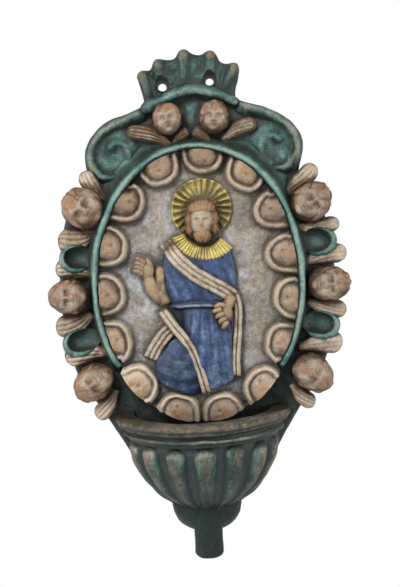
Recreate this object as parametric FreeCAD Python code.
"""Wall-hung holy water stoup in glazed clay, as the pieces a modeller presses and lutes together.

A flat slab hangs on the wall by two holes in its shell-shaped crest. On the slab sit a raised oval
medallion with a ring of egg-shaped cups and a draped figure in relief, eight winged heads, two
volutes, four hollow pockets, and, at the bottom, a half-round gadrooned basin for the water.

Millimetres. Origin on the wall face, level with the centre of the medallion. +X is the viewer's
right, +Z is up, and -Y points out of the wall at the viewer.
"""

import FreeCAD
import Part
import math
import os

from FreeCAD import Matrix, Placement, Rotation, Vector

# ---- driving dimensions -------------------------------------------------------------------------
# slab
slab_thickness = 12.0
slab_edge_round = 2.0
slab_half_width = 101.5
slab_shoulder = (71.5, -96.5)       # where the sides turn in towards the basin
slab_waist = (58.0, -119.0)         # where the sides pass behind the basin
slab_tail_half_width = 25.5
slab_tail_z = -163.0
slab_foot_z = -183.0
seat_gap = 0.05                     # slip joint left between two pieces that lie against each other
smallest_solid = 50.0                # mm3: a sliver left by a cut is trimmed away by hand

# crest
arch_half_width = 36.0
arch_rise = 12.5
arch_top_z = 145.0
cornice_radius = 5.2
shell_thickness = 12.0
shell_nubs = ((-35.1, 156.8), (-23.2, 165.6), (-3.3, 173.3), (16.9, 170.6), (35.1, 160.4))      # rib ends, x and z
shell_dips = ((-28.4, 158.6), (-12.4, 165.6), (7.6, 168.4), (25.9, 161.6))                    # edge between ribs
shell_side_x = 34.2
nub_radius = 4.6
rib_root_radius = 2.4
rib_lean = 0.84                     # a rib's root is this share as far out as its tip
flute_depth = 3.2                   # the hollows between the ribs
flute_top_radius = 9.0
flute_root_radius = 5.5
hang_hole_radius = 4.0
hang_hole_places = ((-20.2, 147.9), (15.6, 150.4))      # pierced by hand, so not level
hang_mouth_radius = 6.4
hang_mouth_depth = 5.0

# volutes
volute_eye = (59.5, 99.5)
volute_bead_radius = 5.0
volute_bead_end_radius = 2.8
volute_bead_lift = 4.0              # the bead's middle stands this far off the slab
volute_floor_radius = 19.5
volute_floor_height = 6.0
volute_floor_dish = 4.0
volute_eye_radius = 2.6

# medallion
medallion_half_width = 71.5         # to the outside of the dish
medallion_half_height = 95.5
field_height = 10.0                 # the field stands this far off the slab
ridge_width = 5.0
ridge_flank = 5.0                   # the outer side slopes out by this much down to the slab
ridge_height = 20.5
ridge_round = 2.2
ridge_end_left = 46.0               # the ridge stops this far below the horizontal, so the dish shows there
ridge_end_right = 48.5

# egg cups
cup_count = 15
cup_first_angle = 82.0
cup_drift = 5.5                     # the ring was spaced by eye, and runs on by this much halfway
cup_half_width = 16.2
cup_depth = 24.5
cup_rim_width = 3.4
cup_rim_height = 8.5
cup_rim_round = 1.5
cup_tile_height = 1.6
boss_half_width = 9.6
boss_depth = 17.0
boss_height = 8.2

# winged heads
head_out = 15.0                     # half sizes: chin to crown, cheek to cheek, and off the slab
head_across = 12.2
head_proud = 13.5
head_sink = 8.5                     # the head's centre stands this far off the slab
wing_length = 35.0
wing_width = 15.5
wing_height = 8.4
wing_pad_height = 4.5
wing_feathers = 3
wing_root_out = 14.0                # from the head's middle line to the root of a wing
wing_root_back = 14.5               # and from the head's centre back towards the chin
# x, z, the crown's angle, and how far each wing leans away from the crown: the higher, then the lower
side_heads = ((84.0, 57.0, 37.0, 9.0, 27.0), (94.8, -5.0, 0.0, 10.0, 16.0), (80.5, -69.5, -36.0, 27.0, 8.0))
crest_heads = ((17.6, 121.0, 84.0, 34.0, 60.0),)
crest_head_scale = 0.84
crest_wing_scales = (0.42, 0.72)    # the short inner wing, then the outer one

# pockets between the winged heads
pocket_places = ((90.0, 24.5, 8.0), (89.5, -38.5, -14.0))                      # x, z, tilt
pocket_half_width = 13.0
pocket_half_height = 10.5
pocket_height = 10.0
pocket_wall = 2.6

# figure in the medallion
halo_centre = (5.0, 55.0)
halo_radius = 22.0
halo_thickness = 3.2
halo_ray_count = 24
halo_groove_radius = 1.1            # the rays stand between half-round grooves
halo_groove_start = 10.0            # from the halo's centre
figure_head_centre = (5.2, 45.5)
figure_head_size = (9.6, 11.5, 13.6)        # half sizes: across, proud, tall
figure_head_sink = 5.5
collar_centre = (4.6, 42.0)
collar_inner_radius = 13.5
collar_outer_radius = 25.0
collar_start_angle = 196.0
collar_end_angle = 322.0
collar_height = 7.5
collar_pleats = 13
collar_groove_radius = 1.2
tunic_height = 9.5
belt_z = -16.0
sash_radius = 2.1
sash_folds = 3
sash_fold_pitch = 3.9

# basin
basin_axis_y = -18.0
basin_rim_z = -92.0
basin_rim_radius = 64.5
basin_lip = 3.0
basin_rim_height = 17.0
basin_mouth_radius = 50.0
basin_radius = 56.5
basin_height = 54.5
basin_foot_radius = 16.0
basin_wall = 6.5
gadroon_count = 16
gadroon_depth = 4.6
pendant_height = 20.0
stub_radius = 10.5
stub_axis_y = -27.5
stub_bottom_z = -197.5
stub_round = 4.0

SLAB_FRONT = -slab_thickness
FIELD_FRONT = SLAB_FRONT - field_height
FAR = 400.0


# ---- helpers ------------------------------------------------------------------------------------
def point(x, z, y=0.0):
    return Vector(x, y, z)


def line(a, b):
    return Part.LineSegment(a, b).toShape()


def arc(a, b, c):
    return Part.Arc(a, b, c).toShape()


def spline(points):
    curve = Part.BSplineCurve()
    curve.interpolate(points)
    return curve.toShape()


def closed_spline(points):
    curve = Part.BSplineCurve()
    curve.interpolate(points, PeriodicFlag=True)
    return Part.Wire([curve.toShape()])


def prism(edges, y_back, y_front):
    """The solid inside a closed outline in the XZ plane, between two depths."""
    face = Part.Face(edges if isinstance(edges, Part.Wire) else Part.Wire(edges))
    face.translate(Vector(0, y_back, 0))
    return face.extrude(Vector(0, y_front - y_back, 0))


def ellipse_prism(half_width, half_height, y_back, y_front, centre=(0.0, 0.0)):
    x, z = centre
    if half_width > half_height:
        far, near = point(x + half_width, z), point(x, z + half_height)
    else:
        far, near = point(x, z + half_height), point(x + half_width, z)
    curve = Part.Ellipse(far, near, point(x, z))
    return prism(Part.Wire([curve.toShape()]), y_back, y_front)


def ellipsoid(half_x, half_y, half_z, centre=Vector(0, 0, 0), turn=0.0):
    """Turn is about the axis out of the wall, in degrees, and lifts +X towards +Z."""
    shape = Part.makeSphere(1.0, Vector(0, 0, 0), Vector(0, 1, 0))
    scale = Matrix()
    scale.scale(half_x, half_y, half_z)
    shape = shape.transformGeometry(scale)
    shape.Placement = Placement(centre, Rotation(Vector(0, 1, 0), -turn))
    return shape


def block(y_back, y_front):
    """Everything between two depths."""
    return Part.makeBox(2 * FAR, y_back - y_front, 2 * FAR, Vector(-FAR, y_front, -FAR))


def in_front_of(shape, y):
    return shape.common(block(y, -FAR))


def fuse(shapes):
    return shapes[0].multiFuse(shapes[1:]).removeSplitter() if len(shapes) > 1 else shapes[0]


def mirrored(shape):
    return shape.mirror(Vector(0, 0, 0), Vector(1, 0, 0))


def pipe(points, start_radius, end_radius):
    """A round bar along a smooth line through the points, tapering from one end to the other."""
    path = Part.Wire([spline(points)])
    edge = path.Edges[0]
    rings = []
    for parameter, radius in ((edge.FirstParameter, start_radius), (edge.LastParameter, end_radius)):
        ring = Part.Circle(edge.valueAt(parameter), edge.tangentAt(parameter), radius)
        rings.append(Part.Wire([ring.toShape()]))
    sweep = Part.BRepOffsetAPI.MakePipeShell(path)
    sweep.setBiNormalMode(Vector(0, 1, 0))
    for ring in rings:
        sweep.add(ring)
    sweep.build()
    sweep.makeSolid()
    return sweep.shape()


def export(name, shape):
    solids = [s for s in shape.Solids if s.Volume > smallest_solid]
    Part.makeCompound(solids).exportStep(f"parts/{name}.step")
    volumes = " ".join(f"{s.Volume:.0f}" for s in solids)
    print(f"{name:26s} valid {all(s.isValid() for s in solids)}  mm3 {volumes}")


# ---- crest --------------------------------------------------------------------------------------
arch_radius = (arch_half_width**2 + arch_rise**2) / (2 * arch_rise)
arch_centre_z = arch_top_z - arch_radius
arch_end_z = arch_top_z - arch_rise


def hang_holes():
    """The two round holes, with their flared mouths at the front of the crest."""
    tools = []
    for x, z in hang_hole_places:
        tools.append(Part.makeCylinder(hang_hole_radius, FAR, Vector(x, 1.0, z), Vector(0, -1, 0)))
        flare = hang_mouth_radius - hang_hole_radius
        tools.append(Part.makeCone(hang_hole_radius, hang_hole_radius + 3 * flare, 3 * hang_mouth_depth,
                                   Vector(x, -shell_thickness, z), Vector(0, -1, 0)))
    return fuse(tools)


def crest_shell(holes):
    """A plate with a scalloped edge, fluted between ribs that fan out from the arch to a nub each."""
    y = -shell_thickness
    centres = [point(x * (1 - nub_radius / 60.0), z - nub_radius) for x, z in shell_nubs]
    edges = []
    for left, right, dip in zip(centres, centres[1:], shell_dips):
        edges.append(arc(left, point(*dip), right))
    foot_z = arch_end_z - 4.0
    corner_right, corner_left = point(shell_side_x, foot_z), point(-shell_side_x, foot_z)
    edges += [line(centres[-1], corner_right), line(corner_right, corner_left), line(corner_left, centres[0])]
    plate = prism(edges, 0.0, y)
    root_z = arch_end_z - 2.0
    roots = [point(c.x * rib_lean, root_z) for c in centres]
    for a, b, c, d in zip(centres, centres[1:], roots, roots[1:]):
        top, foot = (a + b) * 0.5 + Vector(0, 0, 6.0), (c + d) * 0.5
        top.y = y + flute_depth - flute_top_radius
        foot.y = y + flute_depth - flute_root_radius
        way = top - foot
        plate = plate.cut(Part.makeCone(flute_root_radius, flute_top_radius, way.Length, foot, way))
    pieces = [plate]
    for tip, root in zip(centres, roots):
        end, start = Vector(tip.x, y, tip.z), Vector(root.x, y, root.z)
        way = end - start
        pieces.append(Part.makeCone(rib_root_radius, nub_radius * 0.8, way.Length, start, way))
        pieces.append(Part.makeSphere(nub_radius, end))
    under = prism([Part.Circle(point(0, arch_centre_z), Vector(0, 1, 0), arch_radius + seat_gap).toShape()],
                  1.0, -FAR)
    return fuse(pieces).cut(under).cut(holes)


def crest_cornice(shell, holes):
    """The moulded lip that covers the joint between the shell and the slab."""
    half_angle = math.asin(arch_half_width / arch_radius)
    ends = [point(arch_radius * math.sin(t), arch_centre_z + arch_radius * math.cos(t), SLAB_FRONT - 1.5)
            for t in (-half_angle * 1.04, 0.0, half_angle * 1.04)]
    path = Part.Wire([arc(*ends)])
    start = path.Edges[0]
    ring = Part.Circle(ends[0], start.tangentAt(start.FirstParameter), cornice_radius)
    bead = path.makePipeShell([Part.Wire([ring.toShape()])], True, False)
    return in_front_of(bead, SLAB_FRONT).cut(shell).cut(holes)


# ---- slab ---------------------------------------------------------------------------------------
def slab_side():
    """The right-hand edge, from the end of the arch down to the tail, as three smooth runs."""
    ex, ez = volute_eye
    neck = point(ex + 19.0, ez - 17.5)
    over = [point(arch_half_width, arch_end_z), point(ex - 11.5, ez + 28.0), point(ex + 6.0, ez + 21.5),
            point(ex + 18.5, ez + 10.5), point(ex + 22.0, ez - 2.0), neck]
    side = [neck, point(slab_half_width - 8.0, 57.0), point(slab_half_width, 22.0),
            point(slab_half_width, -20.0), point(slab_half_width - 9.0, -62.0), point(*slab_shoulder)]
    flank = [point(*slab_shoulder), point(*slab_waist), point(slab_waist[0] - 18.0, slab_waist[1] - 33.0),
             point(slab_tail_half_width, slab_tail_z)]
    return [spline(over), spline(side), spline(flank)]


def slab_outline():
    right = slab_side()
    left = [mirrored(e) for e in right]
    top = arc(point(-arch_half_width, arch_end_z), point(0, arch_top_z), point(arch_half_width, arch_end_z))
    middle_x = slab_tail_half_width * math.cos(math.radians(45))
    middle_z = slab_tail_z + (slab_foot_z - slab_tail_z) * math.sin(math.radians(45))
    tail = spline([point(slab_tail_half_width, slab_tail_z), point(middle_x, middle_z), point(0, slab_foot_z),
                   point(-middle_x, middle_z), point(-slab_tail_half_width, slab_tail_z)])
    return Part.Wire(Part.__sortEdges__([top, *right, tail, *left]))


def back_slab():
    body = prism(slab_outline(), 0.0, SLAB_FRONT)
    front = [e for f in body.Faces if abs(f.CenterOfMass.y - SLAB_FRONT) < 0.01 for e in f.Edges]
    arch = [e for e in front if e.BoundBox.ZMax > arch_top_z - 1.0]
    keep = [e for e in front if not any(e.isSame(a) for a in arch)]
    return body.makeChamfer(slab_edge_round, keep)


# ---- volutes ------------------------------------------------------------------------------------
def volute(shell, cornice):
    """A bead that runs out from the crest and curls round its eye, on a dished floor."""
    ex, ez = volute_eye
    y = SLAB_FRONT - volute_bead_lift
    sweep = ((124.0, 39.0), (108.0, 30.5), (74.0, 22.0), (32.0, 20.5), (0.0, 20.5), (-35.0, 19.5),
             (-75.0, 16.5), (-125.0, 14.5), (-175.0, 12.0), (-225.0, 9.5), (-270.0, 7.5))
    path = []
    for degrees, radius in sweep:
        turn = math.radians(degrees)
        path.append(point(ex + radius * math.cos(turn), ez + radius * math.sin(turn), y))
    bead = pipe(path, volute_bead_radius, volute_bead_end_radius)
    floor = ellipse_prism(volute_floor_radius, volute_floor_radius - 1.5, SLAB_FRONT,
                          SLAB_FRONT - volute_floor_height, (ex, ez - 0.5))
    bowl_radius = (volute_floor_radius**2 + volute_floor_dish**2) / (2 * volute_floor_dish)
    dish = Part.makeSphere(bowl_radius, Vector(ex, SLAB_FRONT - volute_floor_height + volute_floor_dish
                                               - bowl_radius, ez))
    eye = Part.makeCylinder(volute_eye_radius, volute_floor_height, Vector(ex, SLAB_FRONT - 1.0, ez),
                            Vector(0, -1, 0))
    body = fuse([floor.cut(dish), bead]).cut(eye)
    return in_front_of(body, SLAB_FRONT).cut(cornice).cut(shell)


# ---- medallion ----------------------------------------------------------------------------------
def below_ridge(drop=0.0):
    """Everything under the two ends of the ridge."""
    right = point(FAR * math.cos(math.radians(ridge_end_right)), -FAR * math.sin(math.radians(ridge_end_right)))
    left = point(-FAR * math.cos(math.radians(ridge_end_left)), -FAR * math.sin(math.radians(ridge_end_left)))
    middle, down = point(0, 0), Vector(0, 0, -drop)
    return prism([line(middle + down, right + down), line(right + down, left + down),
                  line(left + down, middle + down)], 0.0, -FAR)


def medallion_dish():
    """The oval ground. Where the ridge stops it runs on to the ridge's outer side."""
    oval = ellipse_prism(medallion_half_width, medallion_half_height, SLAB_FRONT, FIELD_FRONT)
    wide = ellipse_prism(medallion_half_width + ridge_width, medallion_half_height + ridge_width, SLAB_FRONT,
                         FIELD_FRONT)
    return oval.fuse(wide.common(below_ridge(3 * seat_gap))).removeSplitter()


def ridge_body(grow=0.0):
    """The ridge before it is hollowed: upright inside, sloping outside."""
    rings = []
    for spread, y in ((ridge_flank, SLAB_FRONT), (0.0, SLAB_FRONT - ridge_height)):
        half_width = medallion_half_width + ridge_width + spread + grow
        half_height = medallion_half_height + ridge_width + spread + grow
        ring = Part.Ellipse(point(0, half_height), point(half_width, 0), point(0, 0)).toShape()
        ring.translate(Vector(0, y, 0))
        rings.append(Part.Wire([ring]))
    return Part.makeLoft(rings, True, True)


def medallion_ridge():
    """The raised bead round the medallion. It is left open at the bottom, over the basin."""
    ring = ridge_body().cut(
        ellipse_prism(medallion_half_width + seat_gap, medallion_half_height + seat_gap, 0.0, -FAR))
    ring = ring.cut(below_ridge())
    top = [e for e in ring.Edges if e.BoundBox.YMax < SLAB_FRONT - ridge_height + 0.01 and e.Length > 60.0]
    return ring.makeFillet(ridge_round, top)


def ellipse_places():
    """Where the cups sit: equal steps along the medallion's edge, with the drift of work done by eye."""
    steps = 1440
    a, b = medallion_half_width, medallion_half_height
    start = math.radians(cup_first_angle)
    turns = [start - 2 * math.pi * i / steps for i in range(steps + 1)]
    run = [0.0]
    for t0, t1 in zip(turns, turns[1:]):
        run.append(run[-1] + math.hypot(a * (math.cos(t1) - math.cos(t0)), b * (math.sin(t1) - math.sin(t0))))
    places = []
    for n in range(cup_count):
        share = n / cup_count
        goal = run[-1] * share - cup_drift * math.sin(math.pi * share)
        i = next(k for k, length in enumerate(run) if length >= max(goal, 0.0))
        places.append(turns[i])
    return places


def egg_cup(turn, before, after):
    """One cup: a thin tile, a raised U-shaped rim open to the ridge, and the egg inside it."""
    a, b = medallion_half_width, medallion_half_height
    end = ridge_end_right if math.cos(turn) > 0 else ridge_end_left
    if -b * math.sin(turn) > a * abs(math.cos(turn)) * math.tan(math.radians(end)):
        a, b = a + ridge_width, b + ridge_width
    foot = point(a * math.cos(turn), b * math.sin(turn))
    inward = Vector(-math.cos(turn) / a, 0, -math.sin(turn) / b).normalize()
    lean = math.degrees(math.atan2(inward.x, inward.z))
    base = FIELD_FRONT

    def cup_form(grow, y_back, y_front):
        body = ellipse_prism(cup_half_width + grow, cup_depth + grow, y_back, y_front)
        return body

    rim = cup_form(0.0, base, base - cup_rim_height).cut(cup_form(-cup_rim_width, 0.0, -FAR))
    crown = [e for e in rim.Edges if e.BoundBox.YMax < base - cup_rim_height + 0.01]
    rim = rim.makeFillet(cup_rim_round, crown)
    tile = cup_form(-cup_rim_width / 2, base, base - cup_tile_height)
    egg = in_front_of(ellipsoid(boss_half_width, boss_height, boss_depth, Vector(0, base, 0)), base)
    body = fuse([rim, tile, egg])
    body.Placement = Placement(foot, Rotation(Vector(0, 1, 0), lean))

    def ray(angle):
        return point(1.5 * a * math.cos(angle), 1.5 * b * math.sin(angle))

    centre = point(0, 0)
    sector = prism([line(centre, ray((turn + before) / 2)), line(ray((turn + before) / 2), ray((turn + after) / 2)),
                    line(ray((turn + after) / 2), centre)], 0.0, -FAR)
    inside = ellipse_prism(a - seat_gap, b - seat_gap, 0.0, -FAR)
    return body.common(inside).common(sector)


# ---- winged heads -------------------------------------------------------------------------------
def cherub_head():
    """A child's head, crown towards +Z, standing on the plane y = 0."""
    skull = ellipsoid(head_across, head_proud, head_out, Vector(0, -head_sink, 0))
    hair = ellipsoid(head_across + 0.8, head_proud - 1.5, head_out * 0.72,
                     Vector(0, 1.0 - head_sink, head_out * 0.36))
    face_y = -head_sink - head_proud * 0.78
    nose = ellipsoid(1.9, 4.4, 3.4, Vector(0, face_y, -head_out * 0.16))
    chin = ellipsoid(4.2, 4.6, 3.6, Vector(0, face_y + 3.4, -head_out * 0.70))
    cheeks = [ellipsoid(4.4, 4.4, 4.6, Vector(s * head_across * 0.45, face_y + 2.2, -head_out * 0.30))
              for s in (-1, 1)]
    return in_front_of(fuse([skull, hair, nose, chin, *cheeks]), 0.0)


def wing():
    """One wing, root at the origin and feathers towards +Z, standing on the plane y = 0."""
    half, length = wing_width / 2, wing_length
    side = [point(half * 0.45, 0.0), point(half * 0.8, length * 0.3), point(half, length * 0.72)]
    ends = [point(half - wing_width * n / wing_feathers, length * 0.84) for n in range(wing_feathers + 1)]
    edges = [spline([*side, ends[0]])]
    for a, b in zip(ends, ends[1:]):
        edges.append(arc(a, (a + b) * 0.5 + Vector(0, 0, wing_width / wing_feathers * 0.4), b))
    edges += [mirrored(edges[0]), line(point(-half * 0.45, 0.0), point(half * 0.45, 0.0))]
    outline = Part.Wire(Part.__sortEdges__(edges))
    pitch = wing_width / wing_feathers
    feathers = []
    for n in range(wing_feathers):
        across = (n - (wing_feathers - 1) / 2) * pitch
        feathers.append(ellipsoid(pitch * 0.85, wing_height - 0.7 * abs(across) / pitch, length * 0.62,
                                  Vector(across, 0, length * 0.52)))
    blade = fuse(feathers).common(prism(outline, 1.0, -2 * wing_height))
    return in_front_of(fuse([prism(outline, 0.0, -wing_pad_height), blade]), 0.0)


def cherub(head, blade, x, z, crown, *leans, size=1.0, wings=(1.0, 1.0)):
    """A head and its two wings on the slab, with the crown at that angle from +X."""
    turn = Placement(point(x, z, SLAB_FRONT), Rotation(Vector(0, 1, 0), 90.0 - crown))
    face = head.copy()
    if size != 1.0:
        face.scale(size)
    pair = []
    for side, lean, share in zip((-1, 1), leans, wings):
        feathers = blade.copy()
        if share != 1.0:
            feathers.scale(share)
        feathers.Placement = Placement(point(side * wing_root_out * size, -wing_root_back * size),
                                       Rotation(Vector(0, 1, 0), side * lean))
        pair.append(feathers.cut(face))
    placed = []
    for shape in (face, *pair):
        shape.Placement = turn.multiply(shape.Placement)
        placed.append(shape)
    return placed[0], placed[1:]


# ---- pockets ------------------------------------------------------------------------------------
def pocket(x, z, tilt):
    """A shallow hollow between two winged heads, with a raised lip, open towards the medallion."""
    y = SLAB_FRONT
    outer = ellipse_prism(pocket_half_width, pocket_half_height, 0.0, -pocket_height)
    hollow = ellipsoid(pocket_half_width - pocket_wall / 2, pocket_height * 0.8,
                       pocket_half_height - pocket_wall, Vector(-pocket_wall * 1.5, -pocket_height, 0))
    body = outer.cut(hollow)
    body.Placement = Placement(point(x, z, y), Rotation(Vector(0, 1, 0), -tilt))
    return body


# ---- figure -------------------------------------------------------------------------------------
def on_field(shape):
    return in_front_of(shape, FIELD_FRONT)


def halo():
    x, z = halo_centre
    front = FIELD_FRONT - halo_thickness
    disc = Part.makeCylinder(halo_radius, halo_thickness, Vector(x, FIELD_FRONT, z), Vector(0, -1, 0))
    for n in range(halo_ray_count):
        turn = 2 * math.pi * (n + 0.5) / halo_ray_count
        way = Vector(math.cos(turn), 0, math.sin(turn))
        start = Vector(x, front, z) + way * halo_groove_start
        disc = disc.cut(Part.makeCylinder(halo_groove_radius, halo_radius, start, way))
    return disc


def figure_head():
    x, z = figure_head_centre
    across, proud, tall = figure_head_size
    y = FIELD_FRONT - figure_head_sink
    skull = ellipsoid(across, proud, tall, Vector(x, y, z))
    hair = [ellipsoid(across * 0.55, proud * 0.8, tall * 0.78, Vector(x + s * across * 0.72, y + 2.0, z + 1.0))
            for s in (-1, 1)]
    crown = ellipsoid(across * 1.02, proud * 0.86, tall * 0.5, Vector(x, y, z + tall * 0.55))
    nose = ellipsoid(1.5, 3.2, 3.6, Vector(x, y - proud * 0.86, z + 1.2))
    beard = ellipsoid(across * 0.66, proud * 0.72, tall * 0.42, Vector(x, y - proud * 0.2, z - tall * 0.78))
    return on_field(fuse([skull, *hair, crown, nose, beard]))


def collar(head):
    x, z = collar_centre
    turns = [math.radians(a) for a in (collar_start_angle, (collar_start_angle + collar_end_angle) / 2,
                                       collar_end_angle)]

    def rim(radius):
        return [point(x + radius * math.cos(t), z + radius * math.sin(t)) for t in turns]

    inner, outer = rim(collar_inner_radius), rim(collar_outer_radius)
    band = prism([arc(*inner), line(inner[2], outer[2]), arc(*outer[::-1]), line(outer[0], inner[0])],
                 FIELD_FRONT, FIELD_FRONT - collar_height)
    for n in range(1, collar_pleats):
        turn = turns[0] + (turns[2] - turns[0]) * n / collar_pleats
        way = Vector(math.cos(turn), 0, math.sin(turn))
        start = Vector(x, FIELD_FRONT - collar_height, z) + way * (collar_inner_radius - 1.0)
        length = collar_outer_radius - collar_inner_radius + 2.0
        band = band.cut(Part.makeCylinder(collar_groove_radius, length, start, way))
    return band.cut(head)


def tunic(collar_piece, head):
    """The gown: a rounded chest, a belted waist and a skirt that widens to the hem."""
    outline = closed_spline([point(-21.5, 28.0), point(-25.5, 14.0), point(-23.5, -4.0), point(-20.5, belt_z),
                             point(-13.0, -33.0), point(-5.0, -52.0), point(2.0, -74.0), point(12.0, -75.0),
                             point(23.0, -67.0), point(23.5, -42.0), point(26.0, belt_z), point(27.0, 2.0),
                             point(26.0, 20.0), point(20.0, 27.0), point(0.0, 24.0)])
    column = prism(outline, FIELD_FRONT, -FAR)
    chest = ellipsoid(32.0, tunic_height, 27.0, Vector(1.0, FIELD_FRONT, 6.0))
    skirt = ellipsoid(22.0, tunic_height, 60.0, Vector(9.0, FIELD_FRONT, -36.0))
    belt = pipe([point(-20.0, belt_z + 1.5, FIELD_FRONT - 5.0), point(-8.0, belt_z, FIELD_FRONT - 8.6),
                 point(8.0, belt_z - 0.5, FIELD_FRONT - 9.0), point(24.0, belt_z + 1.0, FIELD_FRONT - 5.5)], 1.5, 1.5)
    body = column.common(fuse([chest, skirt, belt]))
    return on_field(body).cut(collar_piece).cut(head)


def knee():
    """The fold of the gown over the bent knee, framed by the lower hem bands."""
    outline = closed_spline([point(-16.5, -37.0), point(-24.5, -47.0), point(-33.0, -60.0), point(-29.0, -73.0),
                             point(-14.0, -79.0), point(-1.5, -78.0), point(-4.0, -60.0), point(-9.0, -46.0)])
    dome = ellipsoid(20.0, 10.0, 27.0, Vector(-15.0, FIELD_FRONT, -61.0))
    return on_field(prism(outline, FIELD_FRONT, -FAR).common(dome))


def fold_bands(lines, radius, lift, under):
    """Parallel round folds of cloth along a line, lying on what is under them."""
    bands = []
    for points in lines:
        path = [point(x, z, FIELD_FRONT - lift) for x, z in points]
        bands.append(pipe(path, radius, radius))
    body = on_field(fuse(bands))
    for piece in under:
        body = body.cut(piece)
    return body


def shifted(points, distance):
    """A line moved sideways by that distance, for parallel folds."""
    moved = []
    for i, (x, z) in enumerate(points):
        ax, az = points[max(i - 1, 0)]
        bx, bz = points[min(i + 1, len(points) - 1)]
        length = math.hypot(bx - ax, bz - az)
        moved.append((x + distance * (bz - az) / length, z - distance * (bx - ax) / length))
    return moved


def sash(under):
    """The shoulder-to-hip drape, and its end that hangs down beside the skirt."""
    middle = [(-22.0, 30.0), (-14.0, 15.5), (-2.0, 4.5), (12.0, -3.0), (21.5, -9.5), (26.5, -20.0), (27.0, -42.0),
              (26.5, -66.0)]
    spread = [(k - (sash_folds - 1) / 2) * sash_fold_pitch for k in range(sash_folds)]
    return fold_bands([shifted(middle[:6], s) for s in spread] + [middle[5:]], sash_radius, tunic_height - 2.0, under)


def hem_bands(under):
    """The mantle's lower edge: one band from hip to foot, and one that frames the knee."""
    long_band = [(-27.5, -17.5), (-20.0, -27.0), (-11.5, -37.0), (-5.0, -48.0), (-1.0, -60.0), (1.5, -79.0)]
    knee_band = [(-15.5, -34.5), (-23.5, -41.0), (-31.0, -51.5), (-37.0, -60.0)]
    lines = [shifted(long_band, s) for s in (-1.6, 1.6)] + [shifted(knee_band, s) for s in (-1.6, 1.6)]
    return fold_bands(lines, sash_radius, tunic_height - 5.0, under)


def blessing_arm(under):
    """The raised hand, its forearm and the sleeve behind it."""
    y = FIELD_FRONT
    hand = ellipsoid(8.0, 7.0, 7.0, Vector(-38.5, y - 2.5, 14.0), 20.0)
    fingers = [ellipsoid(1.7, 2.2, 5.6, Vector(-43.6 + 2.6 * n, y - 6.5, 18.0 + 0.6 * n), 18.0) for n in range(4)]
    forearm = ellipsoid(4.4, 6.0, 12.0, Vector(-33.5, y - 1.0, 3.0), 22.0)
    sleeve = ellipsoid(5.0, 8.0, 14.5, Vector(-27.5, y, 0.0), 12.0)
    body = on_field(fuse([hand, *fingers, forearm, sleeve]))
    for piece in under:
        body = body.cut(piece)
    return body


def resting_hand(under):
    y = FIELD_FRONT - tunic_height + 2.0
    palm = ellipsoid(6.6, 6.0, 9.0, Vector(17.0, y, -23.0), -10.0)
    wrist = ellipsoid(4.6, 5.4, 7.0, Vector(20.5, y, -15.5), -30.0)
    fingers = [ellipsoid(4.6, 2.4, 1.7, Vector(12.5, y - 3.6, -19.5 - 3.3 * n), -25.0) for n in range(4)]
    body = on_field(fuse([palm, wrist, *fingers]))
    for piece in under:
        body = body.cut(piece)
    return body


# ---- basin --------------------------------------------------------------------------------------
def turned(profile):
    """A half turn of a closed profile of (radius, z) edges about the basin's upright axis."""
    face = Part.Face(Part.Wire(profile))
    face.translate(Vector(0, basin_axis_y, 0))
    solid = face.revolve(Vector(0, basin_axis_y, 0), Vector(0, 0, 1), 360.0)
    return in_front_of(solid, SLAB_FRONT)


basin_top_z = basin_rim_z - basin_rim_height


def basin_rim():
    """The moulding round the mouth: a worn lip, a hollow, a fillet and a step down to the bowl."""
    z, r, inner = basin_rim_z, basin_rim_radius, basin_mouth_radius
    lip = basin_lip
    throat, bead = r - 7.0, r - 5.5
    edges = [line(point(inner, basin_top_z), point(inner, z - 1.5)),
             line(point(inner, z - 1.5), point(inner + 1.5, z)),
             line(point(inner + 1.5, z), point(r - lip, z)),
             arc(point(r - lip, z), point(r, z - lip), point(r - 1.0, z - 2 * lip)),
             arc(point(r - 1.0, z - 2 * lip), point(r - 3.6, z - 8.4), point(throat, z - 10.2)),
             arc(point(throat, z - 10.2), point(bead, z - 12.2), point(throat - 1.0, z - 14.4)),
             line(point(throat - 1.0, z - 14.4), point(basin_radius - 1.5, basin_top_z)),
             line(point(basin_radius - 1.5, basin_top_z), point(inner, basin_top_z))]
    return turned(edges)


def basin_bowl():
    """The gadrooned bowl: a loft through scalloped sections, hollowed by a turned cavity."""
    profile = ((0.0, 0.975, 0.15), (0.07, 1.0, 0.9), (0.32, 0.95, 1.0), (0.60, 0.80, 0.9), (0.82, 0.58, 0.65),
               (1.0, 0.30, 0.2))
    sections = []
    for share, width, fluting in profile:
        radius = basin_foot_radius + (basin_radius - basin_foot_radius) * (width - 0.30) / 0.70
        depth = gadroon_depth * fluting * radius / basin_radius
        z = basin_top_z - basin_height * share
        arcs = []
        step = 2 * math.pi / gadroon_count
        for n in range(gadroon_count):
            middle = -math.pi / 2 + n * step
            ring = [(radius - depth, middle - step / 2), (radius, middle), (radius - depth, middle + step / 2)]
            arcs.append(arc(*[Vector(q * math.cos(t), basin_axis_y + q * math.sin(t), z) for q, t in ring]))
        sections.append(Part.Wire(arcs))
    body = Part.makeLoft(sections, True, False)
    inner = basin_mouth_radius
    floor_z = basin_top_z - basin_height + 2.2 * basin_wall
    cavity = turned([line(point(0, basin_top_z + 1), point(inner, basin_top_z + 1)),
                     line(point(inner, basin_top_z + 1), point(inner, basin_top_z)),
                     arc(point(inner, basin_top_z), point(inner * 0.78, basin_top_z - 22.0), point(inner * 0.36, floor_z)),
                     line(point(inner * 0.36, floor_z), point(0, floor_z)),
                     line(point(0, floor_z), point(0, basin_top_z + 1))])
    return in_front_of(body, SLAB_FRONT).cut(cavity)


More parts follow.
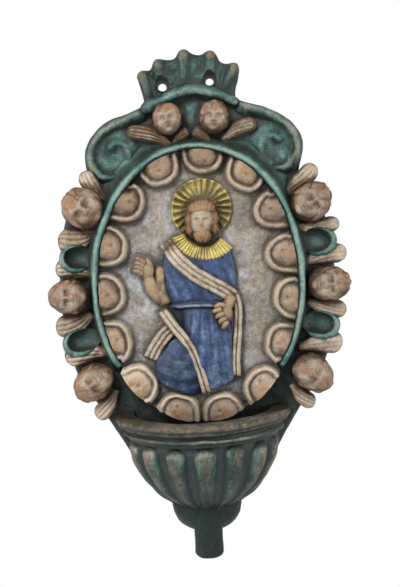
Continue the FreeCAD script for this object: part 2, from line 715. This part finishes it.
def pendant(bowl):
    """The rounded boss that closes the slab's tail under the bowl."""
    body = ellipsoid(slab_tail_half_width - 0.5, 25.0, pendant_height, Vector(0, SLAB_FRONT, slab_tail_z - 0.5))
    below = Part.makeBox(2 * FAR, 2 * FAR, FAR, Vector(-FAR, -FAR, slab_tail_z - FAR))
    return in_front_of(body, SLAB_FRONT).common(below).cut(bowl)


def stub(bowl, boss):
    top_z = basin_top_z - basin_height + basin_wall
    body = Part.makeCylinder(stub_radius, top_z - stub_bottom_z, Vector(0, stub_axis_y, stub_bottom_z))
    end = [e for e in body.Edges if e.BoundBox.ZMax < stub_bottom_z + 0.01]
    body = body.makeFillet(stub_round, end)
    return in_front_of(body, SLAB_FRONT), body


# ---- build --------------------------------------------------------------------------------------
def main():
    os.makedirs("parts", exist_ok=True)
    holes = hang_holes()
    shell = crest_shell(holes)
    export("back_slab", back_slab())
    export("crest_shell", shell)
    cornice = crest_cornice(shell, holes)
    export("crest_cornice", cornice)
    ridge, ridge_room = medallion_ridge(), ridge_body(seat_gap)
    right_volute = volute(shell, cornice).cut(ridge_room)
    volutes = {"right_volute": right_volute, "left_volute": mirrored(right_volute)}
    for name, shape in volutes.items():
        export(name, shape)

    export("medallion_dish", medallion_dish())
    export("medallion_ridge", ridge)
    places = ellipse_places()
    cups = []
    for n, turn in enumerate(places):
        before = places[n - 1] if n else places[-1] + 2 * math.pi
        after = places[(n + 1) % cup_count] - (2 * math.pi if n == cup_count - 1 else 0.0)
        cups.append(egg_cup(turn, before, after).cut(ridge))
        export(f"egg_cup_{n + 1:02d}", cups[-1])

    right_half = Part.makeBox(FAR, 2 * FAR, 2 * FAR, Vector(seat_gap, -FAR, -FAR))
    rim = basin_rim()
    blockers = [ridge_room, cornice, right_volute, shell, rim]
    spots = {f"right_{level}": (spot, 1.0, (1.0, 1.0))
             for level, spot in zip(("upper", "middle", "lower"), side_heads)}
    spots["right_crest"] = (crest_heads[0], crest_head_scale, crest_wing_scales)
    plain_head, plain_wing = cherub_head(), wing()
    made = {}
    for name, (spot, size, wings) in spots.items():
        head, pair = cherub(plain_head, plain_wing, *spot, size=size, wings=wings)
        made[name + "_cherub_head"] = head.cut(ridge_room).cut(cornice).common(right_half)
        for blocker in blockers:
            pair = [w.cut(blocker) for w in pair]
        made[name + "_cherub_wings"] = Part.makeCompound([s for w in pair for s in w.common(right_half).Solids])
    for level, spot in zip(("upper", "lower"), pocket_places):
        hollow = pocket(*spot).cut(ridge_room)
        for other in list(made):
            if other.endswith("wings") and "crest" not in other:
                hollow = hollow.cut(made[other])
        made[f"right_{level}_pocket"] = hollow
    for name, shape in made.items():
        export(name, shape)
        export(name.replace("right", "left"), mirrored(shape))

    face = figure_head()
    neck = collar(face)
    gown = tunic(neck, face)
    lap = knee().cut(gown)
    drape = sash([gown, neck, face, lap])
    hems = hem_bands([gown, lap, drape])
    arm = blessing_arm([gown, drape, hems])
    rest = resting_hand([gown, drape])
    figure = {"halo": halo().cut(face).cut(neck), "figure_head": face, "collar": neck, "tunic": gown,
              "knee_drape": lap, "sash": drape, "hem_bands": hems, "blessing_arm": arm, "resting_hand": rest}
    for name, shape in figure.items():
        for cup in cups:
            if shape.BoundBox.intersect(cup.BoundBox):
                shape = shape.cut(cup)
        export(name, shape)

    bowl = basin_bowl()
    peg, peg_tool = stub(bowl, None)
    boss = pendant(bowl).cut(peg_tool)
    export("basin_rim", rim)
    export("basin_bowl", bowl.cut(peg_tool))
    export("pendant", boss)
    export("stub", peg)


main()
